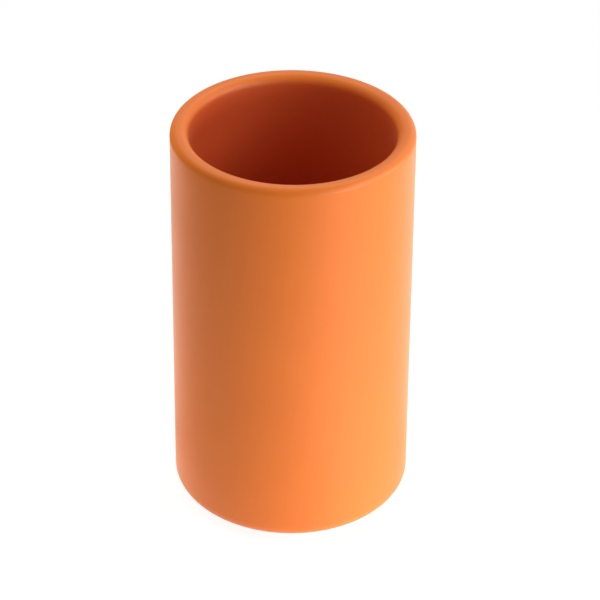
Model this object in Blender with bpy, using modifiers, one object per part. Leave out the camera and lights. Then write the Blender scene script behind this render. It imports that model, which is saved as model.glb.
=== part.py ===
"""A round toothbrush holder: a straight-sided ceramic cup that stands on four silicone pads.

Lengths are in metres and +Z is up. The origin is the centre of the surface the holder stands on,
and -Y is the front. The cup is one turned shell, open at the top. Its foot ring goes round a
shallow recess, and the pads are stuck to the ceiling of that recess.
"""

import math

import bmesh
import bpy

# Cup
OVERALL_HEIGHT = 0.121
CUP_DIAMETER = 0.070
WALL_THICKNESS = 0.0053
FLOOR_THICKNESS = 0.0062
RIM_OUTER_RADIUS = 0.0022
RIM_INNER_RADIUS = 0.0026
BORE_CORNER_RADIUS = 0.008
HEEL_RADIUS = 0.0046

# Foot ring and the recess inside it
FOOT_RING_WIDTH = 0.0034
FOOT_EDGE_RADIUS = 0.0004
RECESS_DEPTH = 0.0015
RECESS_CORNER_RADIUS = 0.0006

# Pads
PAD_NAMES = ("foot_pad_right", "foot_pad_back", "foot_pad_left", "foot_pad_front")
PAD_DIAMETER = 0.0095
PAD_DRAFT = math.radians(12)
PAD_EDGE_RADIUS = 0.0005
PAD_STANDOFF = 0.0008
PAD_TO_RING_CLEARANCE = 0.0018
GLUE_FILM = 0.0003

# A fillet takes at most this share of the wall or step that it rounds
FILLET_SHARE = 0.48

# Facets
TURNED_SIDES = 96
PAD_SIDES = 40
LIP_ARC_STEPS = 5
CORNER_ARC_STEPS = 8
HEEL_ARC_STEPS = 6
SMALL_ARC_STEPS = 3
SHARP_ANGLE = math.radians(40)
MERGE_DISTANCE = 0.00001

# Finishes: base colour, roughness
GLAZE = ((0.87, 0.195, 0.015), 0.45)
SILICONE = ((0.80, 0.80, 0.77), 0.55)

# Levels and radii that follow from the sizes above
FOOT_LEVEL = PAD_STANDOFF
RECESS_CEILING = FOOT_LEVEL + RECESS_DEPTH
BORE_FLOOR = RECESS_CEILING + FLOOR_THICKNESS
PAD_THICKNESS = RECESS_CEILING - GLUE_FILM
CUP_RADIUS = CUP_DIAMETER / 2
BORE_RADIUS = CUP_RADIUS - WALL_THICKNESS
RECESS_RADIUS = CUP_RADIUS - HEEL_RADIUS - FOOT_RING_WIDTH
PAD_RADIUS = PAD_DIAMETER / 2
PAD_CIRCLE_RADIUS = RECESS_RADIUS - PAD_TO_RING_CLEARANCE - PAD_RADIUS


def clear_scene():
    """Remove every object, so that the scene holds only the holder."""
    for obj in list(bpy.data.objects):
        bpy.data.objects.remove(obj, do_unlink=True)


def make_material(name, finish):
    """Return a Principled material of this name and (colour, roughness)."""
    colour, roughness = finish
    material = bpy.data.materials.new(name)
    material.use_nodes = True
    shader = material.node_tree.nodes["Principled BSDF"]
    shader.inputs["Base Color"].default_value = (*colour, 1.0)
    shader.inputs["Roughness"].default_value = roughness
    shader.inputs["Metallic"].default_value = 0.0
    return material


def fillet(radius, room):
    """Return the radius, kept within its share of the wall or step that it rounds."""
    return min(radius, FILLET_SHARE * room)


def quarter(centre, radius, start_degrees, turn, steps):
    """Return the (r, z) points of a quarter circle that starts at an angle and turns +1 or -1."""
    start = math.radians(start_degrees)
    angles = [start + turn * math.pi / 2 * i / steps for i in range(steps + 1)]
    return [(centre[0] + radius * math.cos(a), centre[1] + radius * math.sin(a)) for a in angles]


def cup_profile():
    """Return the cup's half section, from the bore floor over the rim and down to the recess."""
    lip_in = fillet(RIM_INNER_RADIUS, WALL_THICKNESS)
    lip_out = fillet(RIM_OUTER_RADIUS, WALL_THICKNESS)
    edge = fillet(FOOT_EDGE_RADIUS, RECESS_DEPTH)
    nook = fillet(RECESS_CORNER_RADIUS, RECESS_DEPTH)
    corner = BORE_CORNER_RADIUS
    heel = HEEL_RADIUS

    points = [(0.0, BORE_FLOOR)]
    points += quarter((BORE_RADIUS - corner, BORE_FLOOR + corner), corner, -90, 1, CORNER_ARC_STEPS)
    points += quarter((BORE_RADIUS + lip_in, OVERALL_HEIGHT - lip_in), lip_in, 180, -1, LIP_ARC_STEPS)
    points += quarter((CUP_RADIUS - lip_out, OVERALL_HEIGHT - lip_out), lip_out, 90, -1, LIP_ARC_STEPS)
    points += quarter((CUP_RADIUS - heel, FOOT_LEVEL + heel), heel, 0, -1, HEEL_ARC_STEPS)
    points += quarter((RECESS_RADIUS + edge, FOOT_LEVEL + edge), edge, -90, -1, SMALL_ARC_STEPS)
    points += quarter((RECESS_RADIUS - nook, RECESS_CEILING - nook), nook, 0, 1, SMALL_ARC_STEPS)
    points.append((0.0, RECESS_CEILING))
    return points


def make_cup(material):
    """Return the cup: its half section turned about Z."""
    mesh = bpy.data.meshes.new("cup_body")
    bm = bmesh.new()
    corners = [bm.verts.new((r, 0.0, z)) for r, z in cup_profile()]
    for lower, upper in zip(corners, corners[1:]):
        bm.edges.new((lower, upper))
    bm.to_mesh(mesh)
    bm.free()
    mesh.materials.append(material)

    cup = bpy.data.objects.new("cup_body", mesh)
    turn = cup.modifiers.new("turn", "SCREW")
    turn.axis = "Z"
    turn.angle = math.tau
    turn.steps = TURNED_SIDES
    turn.render_steps = TURNED_SIDES
    turn.use_merge_vertices = True
    turn.merge_threshold = MERGE_DISTANCE
    turn.use_smooth_shade = True
    return cup


def make_pad_mesh(material):
    """Return the mesh of one pad: a low cone frustum, its wide face up and its tread at z = 0."""
    tread_radius = PAD_RADIUS - PAD_THICKNESS * math.tan(PAD_DRAFT)
    mesh = bpy.data.meshes.new("foot_pad")
    bm = bmesh.new()
    bmesh.ops.create_cone(
        bm,
        cap_ends=True,
        segments=PAD_SIDES,
        radius1=tread_radius,
        radius2=PAD_RADIUS,
        depth=PAD_THICKNESS,
    )
    bmesh.ops.translate(bm, verts=bm.verts, vec=(0.0, 0.0, PAD_THICKNESS / 2))
    weight = bm.edges.layers.float.new("bevel_weight_edge")
    for edge in bm.edges:
        on_tread = all(vert.co.z < PAD_THICKNESS / 2 for vert in edge.verts)
        edge[weight] = 1.0 if on_tread else 0.0
    bm.to_mesh(mesh)
    bm.free()
    mesh.materials.append(material)
    mesh.shade_smooth()
    mesh.set_sharp_from_angle(angle=SHARP_ANGLE)
    return mesh


def make_pads(material):
    """Return the pads, spaced evenly round the recess, a glue film below its ceiling."""
    mesh = make_pad_mesh(material)
    pads = []
    for index, name in enumerate(PAD_NAMES):
        angle = math.tau * index / len(PAD_NAMES)
        pad = bpy.data.objects.new(name, mesh)
        pad.location = (PAD_CIRCLE_RADIUS * math.cos(angle), PAD_CIRCLE_RADIUS * math.sin(angle), 0.0)
        pad.rotation_euler = (0.0, 0.0, angle)
        rounding = pad.modifiers.new("tread edge", "BEVEL")
        rounding.limit_method = "WEIGHT"
        rounding.width = fillet(PAD_EDGE_RADIUS, PAD_THICKNESS)
        rounding.segments = SMALL_ARC_STEPS
        pads.append(pad)
    return pads


def main():
    """Build the holder in a collection of its own, every piece parented to one empty."""
    clear_scene()
    collection = bpy.data.collections.new("toothbrush_holder")
    bpy.context.scene.collection.children.link(collection)
    holder = bpy.data.objects.new("holder_frame", None)
    holder.empty_display_size = CUP_RADIUS
    collection.objects.link(holder)

    pieces = [make_cup(make_material("satin_orange_glaze", GLAZE))]
    pieces += make_pads(make_material("clear_silicone", SILICONE))
    for piece in pieces:
        collection.objects.link(piece)
        piece.parent = holder


main()
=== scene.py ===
"""A satin orange ceramic toothbrush holder on silicone pads, dressed and lit as in its photograph.

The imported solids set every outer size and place. The cup and its pads are modelled again here with
fine surfaces, each riding on the holder's one body in place of its solid. Lengths are in metres, +Z is
up and -Y is the front.
"""

from __future__ import annotations

import logging
import math
from contextlib import contextmanager
from dataclasses import dataclass, field
from enum import Enum
from typing import Any, Callable, Iterator, Sequence

import bmesh
import bpy
from mathutils import Matrix, Vector

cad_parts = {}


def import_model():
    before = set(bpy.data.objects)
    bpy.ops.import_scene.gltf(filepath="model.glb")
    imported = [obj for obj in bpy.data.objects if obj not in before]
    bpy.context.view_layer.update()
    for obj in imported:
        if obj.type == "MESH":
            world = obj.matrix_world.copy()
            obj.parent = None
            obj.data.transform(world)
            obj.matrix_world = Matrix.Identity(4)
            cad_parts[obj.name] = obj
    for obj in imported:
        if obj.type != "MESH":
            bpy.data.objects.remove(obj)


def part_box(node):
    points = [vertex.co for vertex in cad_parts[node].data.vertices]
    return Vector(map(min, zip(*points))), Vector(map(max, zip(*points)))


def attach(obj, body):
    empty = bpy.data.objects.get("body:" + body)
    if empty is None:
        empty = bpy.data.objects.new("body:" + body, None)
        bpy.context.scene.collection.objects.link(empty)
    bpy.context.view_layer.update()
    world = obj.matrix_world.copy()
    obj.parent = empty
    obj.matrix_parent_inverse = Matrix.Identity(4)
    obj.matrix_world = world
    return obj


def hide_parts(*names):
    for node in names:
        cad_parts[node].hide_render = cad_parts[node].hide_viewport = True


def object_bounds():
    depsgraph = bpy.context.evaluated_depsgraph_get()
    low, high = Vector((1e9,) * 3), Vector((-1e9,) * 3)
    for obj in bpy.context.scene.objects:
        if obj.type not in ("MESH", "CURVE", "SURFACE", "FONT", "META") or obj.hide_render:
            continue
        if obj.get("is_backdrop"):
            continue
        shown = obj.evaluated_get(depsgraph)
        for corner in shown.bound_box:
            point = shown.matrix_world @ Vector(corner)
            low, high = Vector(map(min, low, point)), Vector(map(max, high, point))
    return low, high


LOG = logging.getLogger("holder")
BODY = "root"
MILLIMETRE = 0.001

# How far an edge or a face may lie from the level and the radius at which it is looked for
LEVEL_SLACK = 0.02 * MILLIMETRE
RADIUS_SLACK = 0.1 * MILLIMETRE

# Which way a level face looks, and how much of its normal must point that way
UP = 1.0
DOWN = -1.0
LEVEL_NORMAL = 0.99

# Corners closer than this are one, and this bevel profile is an arc
WELD_DISTANCE = 0.001 * MILLIMETRE
ROUND_PROFILE = 0.5

# The span in which nearly all of a noise texture lies
NOISE_SPAN = (0.3, 0.7)

Colour = tuple[float, float, float]
Span = tuple[float, float]
Socket = bpy.types.NodeSocket
Number = float | Socket
Paint = Colour | Socket
EdgeTest = Callable[[bmesh.types.BMEdge], bool]
FaceTest = Callable[[bmesh.types.BMFace], bool]


class Element(Enum):
    """The kinds of mesh element that are picked, as the names of their lists."""

    EDGE = "edges"
    FACE = "faces"


class Ray(Enum):
    """The kinds of ray that a stage surface can answer apart from the rest."""

    CAMERA = "Is Camera Ray"
    GLOSSY = "Is Glossy Ray"
    TRANSMISSION = "Is Transmission Ray"


class Slot(Enum):
    """The record's material slots."""

    COAT = "satin_orange_coat"
    SILICONE = "clear_silicone"


class Station(Enum):
    """Where a pad stands round the recess, as the name of its solid."""

    RIGHT = "foot_pad_right"
    BACK = "foot_pad_back"
    LEFT = "foot_pad_left"
    FRONT = "foot_pad_front"


def grey(level: float) -> tuple[float, float, float, float]:
    """Return an opaque grey of this level."""
    return (level, level, level, 1.0)


def opaque(paint: Paint) -> Any:
    """Return a colour with full alpha, or a socket as it is."""
    return paint if isinstance(paint, Socket) else (*paint, 1.0)


def towards(bearing: float, lift: float = 0.0) -> Vector:
    """Return the direction of a bearing and a lift in degrees: bearing 0 is the front, 90 the right."""
    turn, rise = math.radians(bearing), math.radians(lift)
    return Vector((math.sin(turn) * math.cos(rise), -math.cos(turn) * math.cos(rise), math.sin(rise)))


@contextmanager
def editing(piece: bpy.types.Object) -> Iterator[None]:
    """Hold a piece in edit mode, with nothing else selected and nothing picked on it.

    Args:
        piece: The mesh object to work on.
    """
    bpy.ops.object.select_all(action="DESELECT")
    piece.select_set(True)
    bpy.context.view_layer.objects.active = piece
    bpy.ops.object.mode_set(mode="EDIT")
    bpy.ops.mesh.select_all(action="DESELECT")
    try:
        yield
    finally:
        bpy.ops.object.mode_set(mode="OBJECT")


def pick(piece: bpy.types.Object, element: Element, wanted: EdgeTest | FaceTest) -> int:
    """Select only the edges or faces that pass a test, on a piece in edit mode.

    Args:
        piece: The mesh object in edit mode.
        element: Which kind is picked.
        wanted: Says whether one of them is picked.

    Returns:
        How many were picked.
    """
    bpy.ops.mesh.select_mode(type=element.name)
    bpy.ops.mesh.select_all(action="DESELECT")
    mesh = bmesh.from_edit_mesh(piece.data)
    picked = [item for item in getattr(mesh, element.value) if wanted(item)]
    for item in picked:
        item.select_set(True)
    bmesh.update_edit_mesh(piece.data)
    return len(picked)


def ring_at(level: float, radius: float, centre: Sequence[float] = (0.0, 0.0)) -> EdgeTest:
    """Return a test for the edges of one ring round a vertical axis.

    Args:
        level: The ring's height.
        radius: The ring's radius.
        centre: A point on the axis.

    Returns:
        A test that is true of an edge whose two ends lie on that ring.
    """

    def is_near(place: Vector) -> bool:
        """Say whether a place lies on the ring."""
        reach = math.hypot(place.x - centre[0], place.y - centre[1])
        return abs(place.z - level) < LEVEL_SLACK and abs(reach - radius) < RADIUS_SLACK

    def is_on_ring(edge: bmesh.types.BMEdge) -> bool:
        """Say whether both ends of an edge lie on the ring."""
        return all(is_near(vert.co) for vert in edge.verts)

    return is_on_ring


def disc_at(level: float, facing: float) -> FaceTest:
    """Return a test for the flat faces at one level that face up or down.

    Args:
        level: The face's height.
        facing: UP for a face that looks up, DOWN for one that looks down.

    Returns:
        A test that is true of such a face.
    """

    def is_disc(face: bmesh.types.BMFace) -> bool:
        """Say whether a face lies there and looks that way."""
        offset = abs(face.calc_center_median().z - level)
        return offset < LEVEL_SLACK and face.normal.z * facing > LEVEL_NORMAL

    return is_disc


def round_ring(piece: bpy.types.Object, ring: EdgeTest, radius: float, steps: int) -> None:
    """Round the edges of one ring with an arc.

    Args:
        piece: The mesh object in edit mode.
        ring: Says which edges make the ring.
        radius: The arc's radius.
        steps: The number of facets across the arc.
    """
    if not pick(piece, Element.EDGE, ring):
        raise ValueError(f"{piece.name} has no such ring to round")
    bpy.ops.mesh.bevel(
        offset_type="OFFSET",
        offset=radius,
        segments=steps,
        profile=ROUND_PROFILE,
        affect="EDGES",
    )


def close_disc(piece: bpy.types.Object, disc: FaceTest, rings: int, radius: float) -> None:
    """Give a large round face inner rings and a pole, so that it has no face of many corners.

    Args:
        piece: The mesh object in edit mode.
        disc: Says which face it is.
        rings: The number of inner rings.
        radius: The face's radius.
    """
    if pick(piece, Element.FACE, disc) != 1:
        raise ValueError(f"{piece.name} has no single disc there")
    for _ in range(rings):
        bpy.ops.mesh.inset(thickness=radius / (rings + 1))
    bpy.ops.mesh.poke()


def finish_mesh(piece: bpy.types.Object, name: str, sharp_degrees: float) -> None:
    """Name a piece, turn its faces outwards and shade it smooth except at sharp edges.

    Args:
        piece: The mesh object, in object mode.
        name: The piece's name.
        sharp_degrees: The angle past which an edge stays sharp.
    """
    piece.name = name
    piece.data.name = name
    with editing(piece):
        bpy.ops.mesh.select_all(action="SELECT")
        bpy.ops.mesh.remove_doubles(threshold=WELD_DISTANCE)
        bpy.ops.mesh.normals_make_consistent(inside=False)
    bpy.ops.object.shade_smooth_by_angle(angle=math.radians(sharp_degrees))


class NodeSheet:
    """A material's or world's node tree, with short ways to add nodes and join them.

    A Mix node has sockets of the same name for each kind of value, so they go by number.
    """

    def __init__(self, owner: bpy.types.Material | bpy.types.World) -> None:
        """Clear the owner's nodes and start afresh.

        Args:
            owner: The material or world whose nodes these are.
        """
        owner.use_nodes = True
        self.tree = owner.node_tree
        self.tree.nodes.clear()

    def add(self, kind: str, inputs: dict[str | int, Any] | None = None, **settings: Any) -> bpy.types.Node:
        """Add a node.

        Args:
            kind: The node's type, without its ShaderNode prefix.
            inputs: Input values or output sockets to join, by input name or number.
            settings: The node's own properties.

        Returns:
            The new node.
        """
        node = self.tree.nodes.new("ShaderNode" + kind)
        for name, value in settings.items():
            setattr(node, name, value)
        for key, value in (inputs or {}).items():
            if isinstance(value, Socket):
                self.tree.links.new(value, node.inputs[key])
            else:
                node.inputs[key].default_value = value
        return node

    def rays(self) -> dict[Ray, Socket]:
        """Return what tells the kinds of ray apart."""
        path = self.add("LightPath")
        return {ray: path.outputs[ray.value] for ray in Ray}

    def maths(self, operation: str, first: Number, second: Number) -> Socket:
        """Return the result of a sum of two numbers or sockets."""
        return self.add("Math", {0: first, 1: second}, operation=operation).outputs[0]

    def remap(self, value: Socket, source: Span, target: Span) -> Socket:
        """Return a value carried smoothly from one span to another, and kept within it."""
        inputs = {"Value": value, 1: source[0], 2: source[1], 3: target[0], 4: target[1]}
        return self.add("MapRange", inputs, interpolation_type="SMOOTHSTEP").outputs[0]

    def choose(self, share: Socket, first: Number, second: Number) -> Socket:
        """Return the first number where the share is 0, and the second where it is 1."""
        return self.add("Mix", {0: share, 2: first, 3: second}, data_type="FLOAT").outputs[0]

    def blend(self, share: Socket, first: Paint, second: Paint) -> Socket:
        """Return the first colour where the share is 0, and the second where it is 1."""
        inputs = {0: share, 6: opaque(first), 7: opaque(second)}
        return self.add("Mix", inputs, data_type="RGBA").outputs[2]

    def shade(self, colour: Socket, depth: Socket) -> Socket:
        """Return a colour darkened by a share of itself, 0 to 1."""
        left = self.maths("SUBTRACT", 1.0, depth)
        return self.add("VectorMath", {0: colour, 3: left}, operation="SCALE").outputs[0]

    def length(self, vector: Socket) -> Socket:
        """Return the length of a vector."""
        return self.add("VectorMath", {0: vector}, operation="LENGTH").outputs["Value"]

    def noise(self, place: Socket, scale: float, detail: float) -> Socket:
        """Return a noise texture's level at a place."""
        return self.add("TexNoise", {"Vector": place, "Scale": scale, "Detail": detail}).outputs[0]

    def bump(self, relief: Socket, height: float, under: Socket | None = None) -> Socket:
        """Raise a relief on a surface.

        Args:
            relief: The relief's level, 0 to 1.
            height: How high a level of 1 stands.
            under: The normal of a relief that this one lies on, if any.

        Returns:
            The normal of the surface with its relief.
        """
        inputs: dict[str | int, Any] = {"Height": relief, "Distance": height}
        if under is not None:
            inputs["Normal"] = under
        return self.add("Bump", inputs).outputs[0]

    def join(self, source: Socket, node: bpy.types.Node, key: str) -> None:
        """Join an output socket to a node's input."""
        self.tree.links.new(source, node.inputs[key])


@dataclass(frozen=True)
class SatinCoat:
    """The cup's finish: a satin orange coat over fine stoneware, bare on the foot ring's tread.

    Inside the bore it is a deeper orange, painted shade of the deep bore. It has soft clouds, a fine peel
    and grain, a few specks, and a faint warm sheen that makes the edges pale.
    """

    colour: Colour = (0.87, 0.195, 0.015)
    # A deeper orange painted inside the bore as its shade
    bore_shade_colour: Colour = (0.70, 0.107, 0.0250)
    bore_radius: float = 0.0298
    bore_radius_fade: float = 0.0014
    bore_level: float = 0.1173
    bore_level_fade: float = 0.0033
    bore_bottom: float = 0.005
    bare_clay: Colour = (0.72, 0.62, 0.50)
    bare_top: float = 0.0011
    bare_fade: float = 0.00025
    refraction: float = 1.5
    roughness: Span = (0.43, 0.47)
    bare_roughness: float = 0.85
    sheen: float = 0.25
    sheen_roughness: float = 0.25
    sheen_tint: Colour = (1.0, 0.8, 0.45)
    cloud_scale: float = 42.0
    cloud_detail: float = 3.0
    cloud_depth: float = 0.03
    peel_scale: float = 620.0
    peel_detail: float = 2.0
    peel_height: float = 0.000012
    grain_scale: float = 3800.0
    grain_detail: float = 1.0
    grain_height: float = 0.0000025
    speck_scale: float = 62.0
    speck_radius: float = 0.018
    speck_core_radius: float = 0.009
    speck_share: float = 0.16
    speck_depth: float = 0.35

    def material(self) -> bpy.types.Material:
        """Mix the coat.

        Returns:
            The coat as a node material.
        """
        made = bpy.data.materials.new(Slot.COAT.value)
        sheet = NodeSheet(made)
        place = sheet.add("TexCoord").outputs["Object"]
        gloss = {
            "IOR": self.refraction,
            "Sheen Weight": self.sheen,
            "Sheen Roughness": self.sheen_roughness,
            "Sheen Tint": opaque(self.sheen_tint),
        }
        shader = sheet.add("BsdfPrincipled", gloss)
        bare = self._bare(sheet, place)
        specks = self._specks(sheet, place)
        clouds = sheet.noise(place, self.cloud_scale, self.cloud_detail)
        # Painted shade: the coat turns a deeper orange inside the bore
        bore_shaded = sheet.blend(self._bore_shade_mask(sheet, place), self.colour, self.bore_shade_colour)
        clouded = sheet.shade(bore_shaded, sheet.remap(clouds, NOISE_SPAN, (0.0, self.cloud_depth)))
        coat = sheet.shade(clouded, sheet.maths("MULTIPLY", specks, self.speck_depth))
        sheet.join(sheet.blend(bare, coat, self.bare_clay), shader, "Base Color")
        satin = sheet.remap(clouds, NOISE_SPAN, self.roughness)
        sheet.join(sheet.choose(bare, satin, self.bare_roughness), shader, "Roughness")
        sheet.join(self._relief(sheet, place, specks), shader, "Normal")
        sheet.add("OutputMaterial", {"Surface": shader.outputs[0]})
        return made

    def _bore_shade_mask(self, sheet: NodeSheet, place: Socket) -> Socket:
        """Mark where shade is painted into the coat: the inside of the bore.

        Args:
            sheet: The coat's nodes.
            place: The place on the cup.

        Returns:
            1 inside the bore, 0 on the lip, outside and underneath.
        """
        parts = sheet.add("SeparateXYZ", {0: place}).outputs
        level = parts["Z"]
        flat = sheet.add("CombineXYZ", {"X": parts["X"], "Y": parts["Y"]}).outputs[0]
        brink = (self.bore_radius, self.bore_radius + self.bore_radius_fade)
        lip = (self.bore_level, self.bore_level + self.bore_level_fade)
        across = sheet.remap(sheet.length(flat), brink, (1.0, 0.0))
        down = sheet.remap(level, lip, (1.0, 0.0))
        above = sheet.maths("GREATER_THAN", level, self.bore_bottom)
        return sheet.maths("MULTIPLY", above, sheet.maths("MULTIPLY", across, down))

    def _bare(self, sheet: NodeSheet, place: Socket) -> Socket:
        """Return how bare the clay is: 1 on the foot ring's tread, where the kiln shelf was."""
        height = sheet.add("SeparateXYZ", {0: place}).outputs["Z"]
        return sheet.remap(height, (self.bare_top, self.bare_top + self.bare_fade), (1.0, 0.0))

    def _specks(self, sheet: NodeSheet, place: Socket) -> Socket:
        """Strew a few small specks.

        Args:
            sheet: The coat's nodes.
            place: The place on the cup.

        Returns:
            1 on a speck and 0 between them.
        """
        cells = sheet.add("TexVoronoi", {"Vector": place, "Scale": self.speck_scale}).outputs
        dot = sheet.remap(cells["Distance"], (self.speck_core_radius, self.speck_radius), (1.0, 0.0))
        lot = sheet.add("SeparateColor", {0: cells["Color"]}).outputs[0]
        chosen = sheet.maths("LESS_THAN", lot, self.speck_share)
        return sheet.maths("MULTIPLY", dot, chosen)

    def _relief(self, sheet: NodeSheet, place: Socket, specks: Socket) -> Socket:
        """Lay the relief of a sprayed coat: a soft peel, a fine grain on it and the specks on top.

        Args:
            sheet: The coat's nodes.
            place: The place on the cup.
            specks: 1 on a speck and 0 between them.

        Returns:
            The coat's normal.
        """
        peel = sheet.noise(place, self.peel_scale, self.peel_detail)
        grain = sheet.noise(place, self.grain_scale, self.grain_detail)
        soft = sheet.bump(peel, self.peel_height)
        fine = sheet.bump(grain, self.grain_height, soft)
        return sheet.bump(specks, self.peel_height, fine)


@dataclass(frozen=True)
class ClearSilicone:
    """The pads' finish: milky clear silicone with a faint moulded grain."""

    colour: Colour = (0.82, 0.83, 0.80)
    haze: float = 0.9
    refraction: float = 1.41
    roughness: Span = (0.34, 0.46)
    transmission: float = 0.55
    cloud_scale: float = 260.0
    cloud_detail: float = 2.0
    grain_scale: float = 2600.0
    grain_detail: float = 1.0
    grain_height: float = 0.000006

    def material(self) -> bpy.types.Material:
        """Mix the silicone.

        Returns:
            The silicone as a node material.
        """
        made = bpy.data.materials.new(Slot.SILICONE.value)
        sheet = NodeSheet(made)
        place = sheet.add("TexCoord").outputs["Object"]
        clear = {"IOR": self.refraction, "Transmission Weight": self.transmission}
        shader = sheet.add("BsdfPrincipled", clear)
        milk = sheet.noise(place, self.cloud_scale, self.cloud_detail)
        hazy = tuple(self.haze * part for part in self.colour)
        sheet.join(sheet.blend(milk, hazy, self.colour), shader, "Base Color")
        sheet.join(sheet.remap(milk, NOISE_SPAN, self.roughness), shader, "Roughness")
        grain = sheet.noise(place, self.grain_scale, self.grain_detail)
        sheet.join(sheet.bump(grain, self.grain_height), shader, "Normal")
        sheet.add("OutputMaterial", {"Surface": shader.outputs[0]})
        return made


@dataclass
class CupBody:
    """The one-piece cup: a cylinder hollowed from the top, relieved underneath and rounded all over.

    The last seven fields are measured on the cup's solid or follow from it.
    """

    finish: SatinCoat = field(default_factory=SatinCoat)
    name: str = "cup"
    node: str = "cup_body"
    wall: float = 0.0053
    floor: float = 0.0062
    rim_outer_radius: float = 0.0022
    rim_inner_radius: float = 0.0026
    bore_corner_radius: float = 0.008
    heel_radius: float = 0.0046
    foot_ring_width: float = 0.0034
    foot_edge_radius: float = 0.0004
    recess_depth: float = 0.0015
    recess_corner_radius: float = 0.0006
    sides: int = 192
    wall_cuts: int = 47
    lip_steps: int = 10
    corner_steps: int = 14
    small_steps: int = 5
    disc_rings: int = 6
    sharp_degrees: float = 50.0
    foot: float = field(init=False)
    top: float = field(init=False)
    ceiling: float = field(init=False)
    bore_floor: float = field(init=False)
    radius: float = field(init=False)
    bore: float = field(init=False)
    recess: float = field(init=False)

    def __post_init__(self) -> None:
        """Measure the solid, and set the levels and radii that follow from it."""
        low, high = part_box(self.node)
        self.foot = low.z
        self.top = high.z
        self.ceiling = self.foot + self.recess_depth
        self.bore_floor = self.ceiling + self.floor
        self.radius = (high.x - low.x) / 2
        self.bore = self.radius - self.wall
        self.recess = self.radius - self.heel_radius - self.foot_ring_width

    def build(self) -> bpy.types.Object:
        """Model the cup in the place of its solid.

        Returns:
            The finished piece, riding on the holder's body.
        """
        piece = self._blank()
        with editing(piece):
            self._hollow(piece)
            self._relieve(piece)
            self._round(piece)
            self._ring_walls(piece)
            self._close(piece)
        finish_mesh(piece, self.name, self.sharp_degrees)
        self._dress(piece)
        return piece

    def _blank(self) -> bpy.types.Object:
        """Turn the blank that the cup is cut from.

        Returns:
            A cylinder of the cup's outer size.
        """
        bpy.ops.object.select_all(action="DESELECT")
        height = self.top - self.foot
        bpy.ops.mesh.primitive_cylinder_add(
            vertices=self.sides,
            radius=self.radius,
            depth=height,
            end_fill_type="NGON",
            location=(0.0, 0.0, self.foot + height / 2),
        )
        piece = bpy.context.object
        bpy.ops.object.transform_apply(location=True, rotation=True, scale=True)
        return piece

    def _hollow(self, piece: bpy.types.Object) -> None:
        """Sink the bore from the top, leaving the wall and the floor.

        Args:
            piece: The cup in edit mode.
        """
        pick(piece, Element.FACE, disc_at(self.top, UP))
        bpy.ops.mesh.inset(thickness=self.wall)
        drop = (0.0, 0.0, self.bore_floor - self.top)
        bpy.ops.mesh.extrude_region_move(TRANSFORM_OT_translate={"value": drop})

    def _relieve(self, piece: bpy.types.Object) -> None:
        """Sink the shallow recess inside the foot ring.

        Args:
            piece: The cup in edit mode.
        """
        pick(piece, Element.FACE, disc_at(self.foot, DOWN))
        bpy.ops.mesh.inset(thickness=self.radius - self.recess)
        rise = (0.0, 0.0, self.recess_depth)
        bpy.ops.mesh.extrude_region_move(TRANSFORM_OT_translate={"value": rise})

    def _round(self, piece: bpy.types.Object) -> None:
        """Round the rim, the bore's corner, the heel and both edges of the recess.

        Args:
            piece: The cup in edit mode.
        """
        edges = (
            (self.top, self.radius, self.rim_outer_radius, self.lip_steps),
            (self.top, self.bore, self.rim_inner_radius, self.lip_steps),
            (self.bore_floor, self.bore, self.bore_corner_radius, self.corner_steps),
            (self.foot, self.radius, self.heel_radius, self.corner_steps),
            (self.foot, self.recess, self.foot_edge_radius, self.small_steps),
            (self.ceiling, self.recess, self.recess_corner_radius, self.small_steps),
        )
        for level, radius, arc, steps in edges:
            round_ring(piece, ring_at(level, radius), arc, steps)

    def _ring_walls(self, piece: bpy.types.Object) -> None:
        """Divide both tall walls into rings, so that no facet is a long sliver.

        Args:
            piece: The cup in edit mode.
        """
        tall = (self.top - self.foot) / 2
        pick(piece, Element.EDGE, lambda edge: edge.calc_length() > tall)
        bpy.ops.mesh.subdivide(number_cuts=self.wall_cuts)

    def _close(self, piece: bpy.types.Object) -> None:
        """Close the bore's floor and the recess's ceiling with rings and a pole.

        Args:
            piece: The cup in edit mode.
        """
        discs = (
            (self.bore_floor, UP, self.bore - self.bore_corner_radius),
            (self.ceiling, DOWN, self.recess - self.recess_corner_radius),
        )
        for level, facing, radius in discs:
            close_disc(piece, disc_at(level, facing), self.disc_rings, radius)

    def _dress(self, piece: bpy.types.Object) -> None:
        """Give the cup its finish and put it in its solid's place.

        Args:
            piece: The cup in object mode.
        """
        piece.data.materials.append(self.finish.material())
        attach(piece, BODY)
        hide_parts(self.node)


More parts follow.
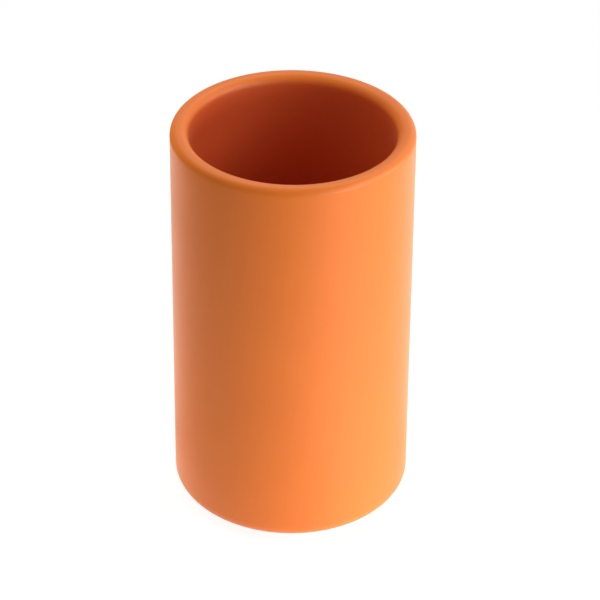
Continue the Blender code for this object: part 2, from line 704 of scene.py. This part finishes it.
@dataclass
class FootPads:
    """The self-adhesive pads in the recess, one at each station, each the size of its solid.

    The tread's flat rim and the slope of its dish are shares of the tread's radius.
    """

    finish: ClearSilicone = field(default_factory=ClearSilicone)
    draft: float = math.radians(12)
    tread_edge_radius: float = 0.0005
    tread_rim: float = 0.25
    dish_slope: float = 0.15
    dish_depth: float = 0.00006
    sides: int = 64
    edge_steps: int = 5
    disc_rings: int = 3
    sharp_degrees: float = 40.0

    def build(self) -> list[bpy.types.Object]:
        """Model a pad at each station.

        Returns:
            The finished pieces, riding on the holder's body.
        """
        material = self.finish.material()
        pads = []
        for station in Station:
            pad = self._pad(station)
            pad.data.materials.append(material)
            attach(pad, BODY)
            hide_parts(station.value)
            pads.append(pad)
        return pads

    def _pad(self, station: Station) -> bpy.types.Object:
        """Model one pad: a low frustum with a rounded tread edge and a faint dish in its tread.

        Args:
            station: Where it stands.

        Returns:
            The pad, its place in its mesh.
        """
        low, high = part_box(station.value)
        centre = (low + high) / 2
        height = high.z - low.z
        radius = (high.x - low.x) / 2
        tread = radius - height * math.tan(self.draft)
        bpy.ops.object.select_all(action="DESELECT")
        bpy.ops.mesh.primitive_cone_add(
            vertices=self.sides,
            radius1=tread,
            radius2=radius,
            depth=height,
            end_fill_type="NGON",
            location=centre,
        )
        pad = bpy.context.object
        bpy.ops.object.transform_apply(location=True, rotation=True, scale=True)
        with editing(pad):
            round_ring(pad, ring_at(low.z, tread, centre), self.tread_edge_radius, self.edge_steps)
            close_disc(pad, disc_at(high.z, UP), self.disc_rings, radius)
            pick(pad, Element.FACE, disc_at(low.z, DOWN))
            bpy.ops.mesh.inset(thickness=self.tread_rim * tread)
            bpy.ops.mesh.inset(thickness=self.dish_slope * tread, depth=-self.dish_depth)
            bpy.ops.mesh.poke()
        finish_mesh(pad, station.value.replace("foot_pad", "pad"), self.sharp_degrees)
        return pad


@dataclass(frozen=True)
class Lamp:
    """A soft rectangular studio lamp that looks at the cup, with or without its own mirror image.

    Its bearing and lift are in degrees, its distance, width and height in metres.
    """

    name: str
    bearing: float
    lift: float
    distance: float
    width: float
    height: float
    watts: float
    mirrored: bool = True

    def hang(self, target: Vector) -> bpy.types.Object:
        """Place the lamp, facing a target.

        Args:
            target: The point that it looks at.

        Returns:
            The lamp object.
        """
        reach = towards(self.bearing, self.lift)
        data = bpy.data.lights.new(self.name, "AREA")
        data.shape = "RECTANGLE"
        data.size = self.width
        data.size_y = self.height
        data.energy = self.watts
        lamp = bpy.data.objects.new(self.name, data)
        lamp.location = target + self.distance * reach
        lamp.rotation_euler = (-reach).to_track_quat("-Z", "Y").to_euler()
        lamp.visible_camera = False
        lamp.visible_glossy = self.mirrored
        bpy.context.scene.collection.objects.link(lamp)
        return lamp


@dataclass
class Studio:
    """The softly lit white table, its surroundings and the lamps.

    The camera sees white all round. The light comes mostly from one bright side, behind the cup to the
    right: the table glows there and fades into a soft shade, and so does the room that the coat mirrors.
    The table that the coat mirrors is a little dull towards the front right, and stays bright close
    round the foot, in the shade too. Each window is a span of the cosine of the angle from a bearing, over
    which the glow or the dullness sets in.
    """

    table_side: float = 0.44
    table_white: float = 0.86
    bright_bearing: float = 131.0
    table_window: Span = (-1.0, 0.0)
    table_glow: Span = (0.19, 1.22)
    dull_bearing: float = 52.0
    dull_window: Span = (0.2, 0.8)
    dull_share: float = 0.5
    foot_reach: Span = (0.036, 0.078)
    foot_glow: float = 0.95
    room_window: Span = (0.0, 0.9)
    room_glow: Span = (0.02, 1.0)
    seen_glow: float = 0.84
    seen_white: float = 0.30
    ambient: float = 0.275
    lamps: tuple[Lamp, ...] = (
        Lamp("key_front", 48.0, 4.3, 0.80, 0.50, 0.24, 3.10),
        Lamp("key_right", 92.0, 4.3, 0.80, 0.50, 0.24, 1.66),
        Lamp("key_high", 70.0, 32.0, 0.70, 0.50, 0.30, 1.60),
        Lamp("left", -90.0, 4.3, 0.80, 0.50, 0.24, 0.60, mirrored=False),
        Lamp("left_back", -132.0, 4.3, 0.80, 0.50, 0.24, 2.50, mirrored=False),
        Lamp("left_high", -100.0, 50.0, 0.60, 0.40, 0.30, 0.66, mirrored=False),
        Lamp("top_back", 180.0, 62.0, 0.60, 0.60, 0.30, 1.07),
    )

    def build(self, target: Vector) -> None:
        """Set the stage round a target.

        Args:
            target: The point that the lamps look at.
        """
        bpy.context.scene.view_settings.view_transform = "Standard"
        self._table()
        self._surroundings()
        for lamp in self.lamps:
            lamp.hang(target)

    def _table(self) -> None:
        """Lay the table that the cup stands on."""
        bpy.ops.object.select_all(action="DESELECT")
        bpy.ops.mesh.primitive_plane_add(size=self.table_side, location=(0.0, 0.0, 0.0))
        table = bpy.context.object
        table.name = "table"
        table.data.materials.append(self._table_top())
        table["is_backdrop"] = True

    def _table_top(self) -> bpy.types.Material:
        """Mix the table's surface: matt and glowing on one side, and white but for a shadow where seen.

        Returns:
            The table's material.
        """
        made = bpy.data.materials.new("table_white")
        sheet = NodeSheet(made)
        rays = sheet.rays()
        seen = self._seen(sheet, rays)
        mirrored = rays[Ray.GLOSSY]
        place = sheet.add("TexCoord").outputs["Object"]
        outwards = sheet.add("VectorMath", {0: place}, operation="NORMALIZE").outputs[0]
        bright = self._along(sheet, outwards, self.bright_bearing)
        lighting = sheet.remap(bright, self.table_window, self.table_glow)
        image = self._mirrored_glow(sheet, place, outwards, lighting)
        unseen = sheet.choose(mirrored, lighting, image)
        glow = sheet.add("Emission", {"Strength": sheet.choose(seen, unseen, self.seen_glow)})
        matt = sheet.add("BsdfDiffuse", {"Color": grey(self.table_white)})
        shadowed = sheet.add("BsdfDiffuse", {"Color": grey(self.seen_white)})
        either = sheet.maths("MAXIMUM", seen, mirrored)
        cloth = sheet.add("MixShader", {0: either, 1: matt.outputs[0], 2: shadowed.outputs[0]})
        lit = sheet.add("AddShader", {0: glow.outputs[0], 1: cloth.outputs[0]})
        sheet.add("OutputMaterial", {"Surface": lit.outputs[0]})
        made.cycles.emission_sampling = "NONE"
        return made

    def _mirrored_glow(self, sheet: NodeSheet, place: Socket, outwards: Socket, lighting: Socket) -> Socket:
        """Dull the glow towards one side and bring it up close round the foot, for the coat's image.

        Args:
            sheet: The table's nodes.
            place: Where the ray meets the table.
            outwards: The direction of that place from the cup.
            lighting: The glow that lights the cup.

        Returns:
            The glow of the table that the coat mirrors.
        """
        side = self._along(sheet, outwards, self.dull_bearing)
        kept = sheet.remap(side, self.dull_window, (1.0, 1.0 - self.dull_share))
        near = sheet.remap(sheet.length(place), self.foot_reach, (self.foot_glow, 0.0))
        return sheet.maths("MAXIMUM", near, sheet.maths("MULTIPLY", lighting, kept))

    def _surroundings(self) -> None:
        """Surround the table with white where seen, one bright side where mirrored, and a dim sky."""
        world = bpy.data.worlds.new("studio")
        bpy.context.scene.world = world
        sheet = NodeSheet(world)
        rays = sheet.rays()
        way = sheet.add("TexCoord").outputs["Generated"]
        height = sheet.add("SeparateXYZ", {0: way}).outputs["Z"]
        sky = sheet.maths("MULTIPLY", sheet.maths("GREATER_THAN", height, 0.0), self.ambient)
        bright = self._along(sheet, way, self.bright_bearing)
        room = sheet.remap(bright, self.room_window, self.room_glow)
        unseen = sheet.choose(rays[Ray.GLOSSY], sky, room)
        strength = sheet.maths("MAXIMUM", self._seen(sheet, rays), unseen)
        back = sheet.add("Background", {"Color": grey(1.0), "Strength": strength})
        sheet.add("OutputWorld", {"Surface": back.outputs[0]})
        world.cycles.sampling_method = "NONE"

    @staticmethod
    def _along(sheet: NodeSheet, way: Socket, bearing: float) -> Socket:
        """Return how far a direction points along a bearing: 1 towards it, -1 away from it."""
        inputs = {0: way, 1: towards(bearing)}
        return sheet.add("VectorMath", inputs, operation="DOT_PRODUCT").outputs["Value"]

    @staticmethod
    def _seen(sheet: NodeSheet, rays: dict[Ray, Socket]) -> Socket:
        """Return 1 for the rays that look at the background itself: camera and transmission rays."""
        return sheet.maths("MAXIMUM", rays[Ray.CAMERA], rays[Ray.TRANSMISSION])


@dataclass
class Camera:
    """The photograph's camera, set from a fit to the cup's outline and lip.

    The lens and the sensor are in millimetres. The yaw turns it to the right, the pitch down.
    """

    distance: float = 0.72031
    height: float = 0.53668
    yaw: float = math.radians(0.190)
    pitch: float = math.radians(33.356)
    roll: float = math.radians(0.511)
    lens: float = 176.15
    sensor: float = 36.0
    nearest: float = 0.01
    farthest: float = 20.0

    def build(self) -> bpy.types.Object:
        """Make it the scene's camera.

        Returns:
            The camera object.
        """
        data = bpy.data.cameras.new("camera")
        data.sensor_fit = "HORIZONTAL"
        data.sensor_width = self.sensor
        data.lens = self.lens
        data.clip_start = self.nearest
        data.clip_end = self.farthest
        camera = bpy.data.objects.new("camera", data)
        bpy.context.scene.collection.objects.link(camera)
        place = Matrix.Translation((0.0, -self.distance, self.height))
        camera.matrix_world = place @ self._turn().to_4x4()
        bpy.context.scene.camera = camera
        return camera

    def _turn(self) -> Matrix:
        """Work out which way the camera is turned.

        Returns:
            The matrix that turns a camera's own axes into the scene's.
        """
        flat = math.cos(self.pitch)
        ahead = Vector((math.sin(self.yaw) * flat, math.cos(self.yaw) * flat, -math.sin(self.pitch)))
        level = Vector((math.cos(self.yaw), -math.sin(self.yaw), 0.0))
        upright = level.cross(ahead)
        right = math.cos(self.roll) * level + math.sin(self.roll) * upright
        up = math.cos(self.roll) * upright - math.sin(self.roll) * level
        return Matrix((right, up, -ahead)).transposed()


def main() -> None:
    """Load the frame, build the holder and its studio, and report each piece."""
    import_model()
    solid_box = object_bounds()
    camera = Camera().build()
    LOG.info("camera at %s", tuple(camera.location))
    cup = CupBody().build()
    LOG.info("%s: %d faces", cup.name, len(cup.data.polygons))
    for pad in FootPads().build():
        LOG.info("%s: %d faces", pad.name, len(pad.data.polygons))
    Studio().build((solid_box[0] + solid_box[1]) / 2)


if __name__ == "__main__":
    logging.basicConfig(level=logging.INFO, format="%(name)s: %(message)s")
    main()
